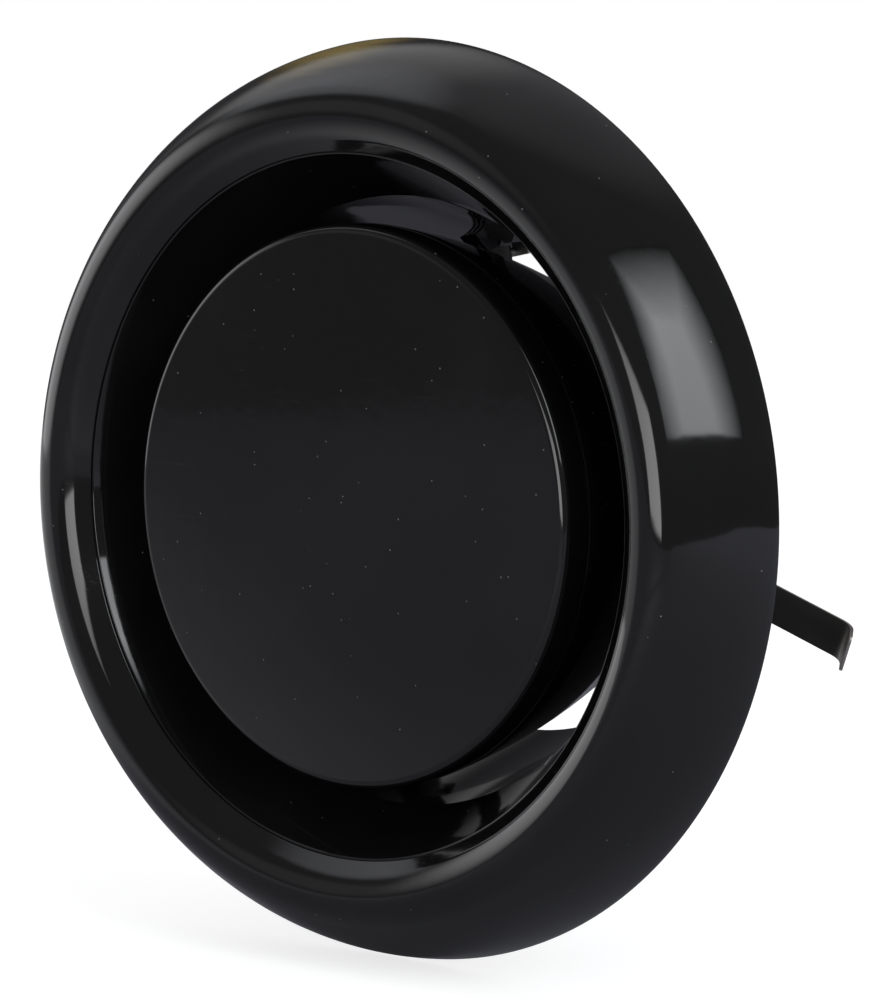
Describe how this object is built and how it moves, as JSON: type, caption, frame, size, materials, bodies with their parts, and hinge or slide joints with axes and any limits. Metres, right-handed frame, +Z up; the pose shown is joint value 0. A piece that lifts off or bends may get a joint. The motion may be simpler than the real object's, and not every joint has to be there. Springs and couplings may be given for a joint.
{
  "type": "exhaust air valve",
  "caption": "Round ceiling or wall exhaust air valve: a bulged ring and funnel throat with a screw-adjusted disc and cone on a threaded spindle, held in a duct by spring clips.",
  "frame": {"origin": "on the valve's axis, in the plane of the wall that the ring sits against", "axes": "+Y runs back into the duct, the disc faces -Y, +Z is up"},
  "size_m": [0.145, 0.0856, 0.145],
  "materials": {
    "black_plastic": "gloss",
    "steel": "zinc plated",
    "spring_steel": "dark oiled",
    "brass": "turned",
    "foam": "closed-cell foam"
  },
  "bodies": {
    "housing": {"front_ring": "black_plastic", "throat": "black_plastic", "flange_gasket": "foam", "hub_insert": "brass", "clip_root_right": "spring_steel", "clip_root_top": "spring_steel", "clip_root_left": "spring_steel", "clip_screw_right": "steel", "clip_screw_top": "steel", "clip_screw_left": "steel"},
    "carriage": {"spindle": "steel"},
    "disc": {"disc_plate": "black_plastic", "stem_insert": "brass", "cone": "black_plastic", "cone_washer": "steel", "cone_nut": "steel"},
    "lock_washer": {"lock_washer": "steel"},
    "lock_nut": {"lock_nut": "steel"},
    "clip_right": {"clip_blade_right": "spring_steel"},
    "clip_top": {"clip_blade_top": "spring_steel"},
    "clip_left": {"clip_blade_left": "spring_steel"}
  },
  "joints": [
    {"name": "disc_travel", "type": "slide", "parent": "housing", "child": "carriage", "axis": [0, -1, 0], "range_m": [-0.0025, 0.015]},
    {"name": "disc_turn", "type": "hinge", "parent": "carriage", "child": "disc", "pos_m": [0, 0, 0], "axis": [0, -1, 0], "range_deg": [-900, 5400]},
    {"name": "lock_travel", "type": "slide", "parent": "housing", "child": "lock_washer", "axis": [0, 1, 0], "range_m": [0, 0.002]},
    {"name": "lock_turn", "type": "hinge", "parent": "lock_washer", "child": "lock_nut", "pos_m": [0, 0.048, 0], "axis": [0, 1, 0], "range_deg": [0, 720]},
    {"name": "clip_flex_right", "type": "hinge", "parent": "housing", "child": "clip_right", "pos_m": [0.04207, 0.03675, -0.01481], "axis": [-0.3322, 0, -0.9432], "range_deg": [0, 72], "stiffness_Nm_per_rad": 0.05},
    {"name": "clip_flex_top", "type": "hinge", "parent": "housing", "child": "clip_top", "pos_m": [-0.0082, 0.03675, 0.04384], "axis": [0.9829, 0, 0.184], "range_deg": [0, 72], "stiffness_Nm_per_rad": 0.05},
    {"name": "clip_flex_left", "type": "hinge", "parent": "housing", "child": "clip_left", "pos_m": [-0.03386, 0.03675, -0.02902], "axis": [-0.6508, 0, 0.7593], "range_deg": [0, 72], "stiffness_Nm_per_rad": 0.05}
  ],
  "couplings": [
    {"joint": "disc_travel", "follows": "disc_turn", "m_per_rad": 0.00015915},
    {"joint": "lock_turn", "follows": "lock_travel", "rad_per_m": 6283.2}
  ]
}
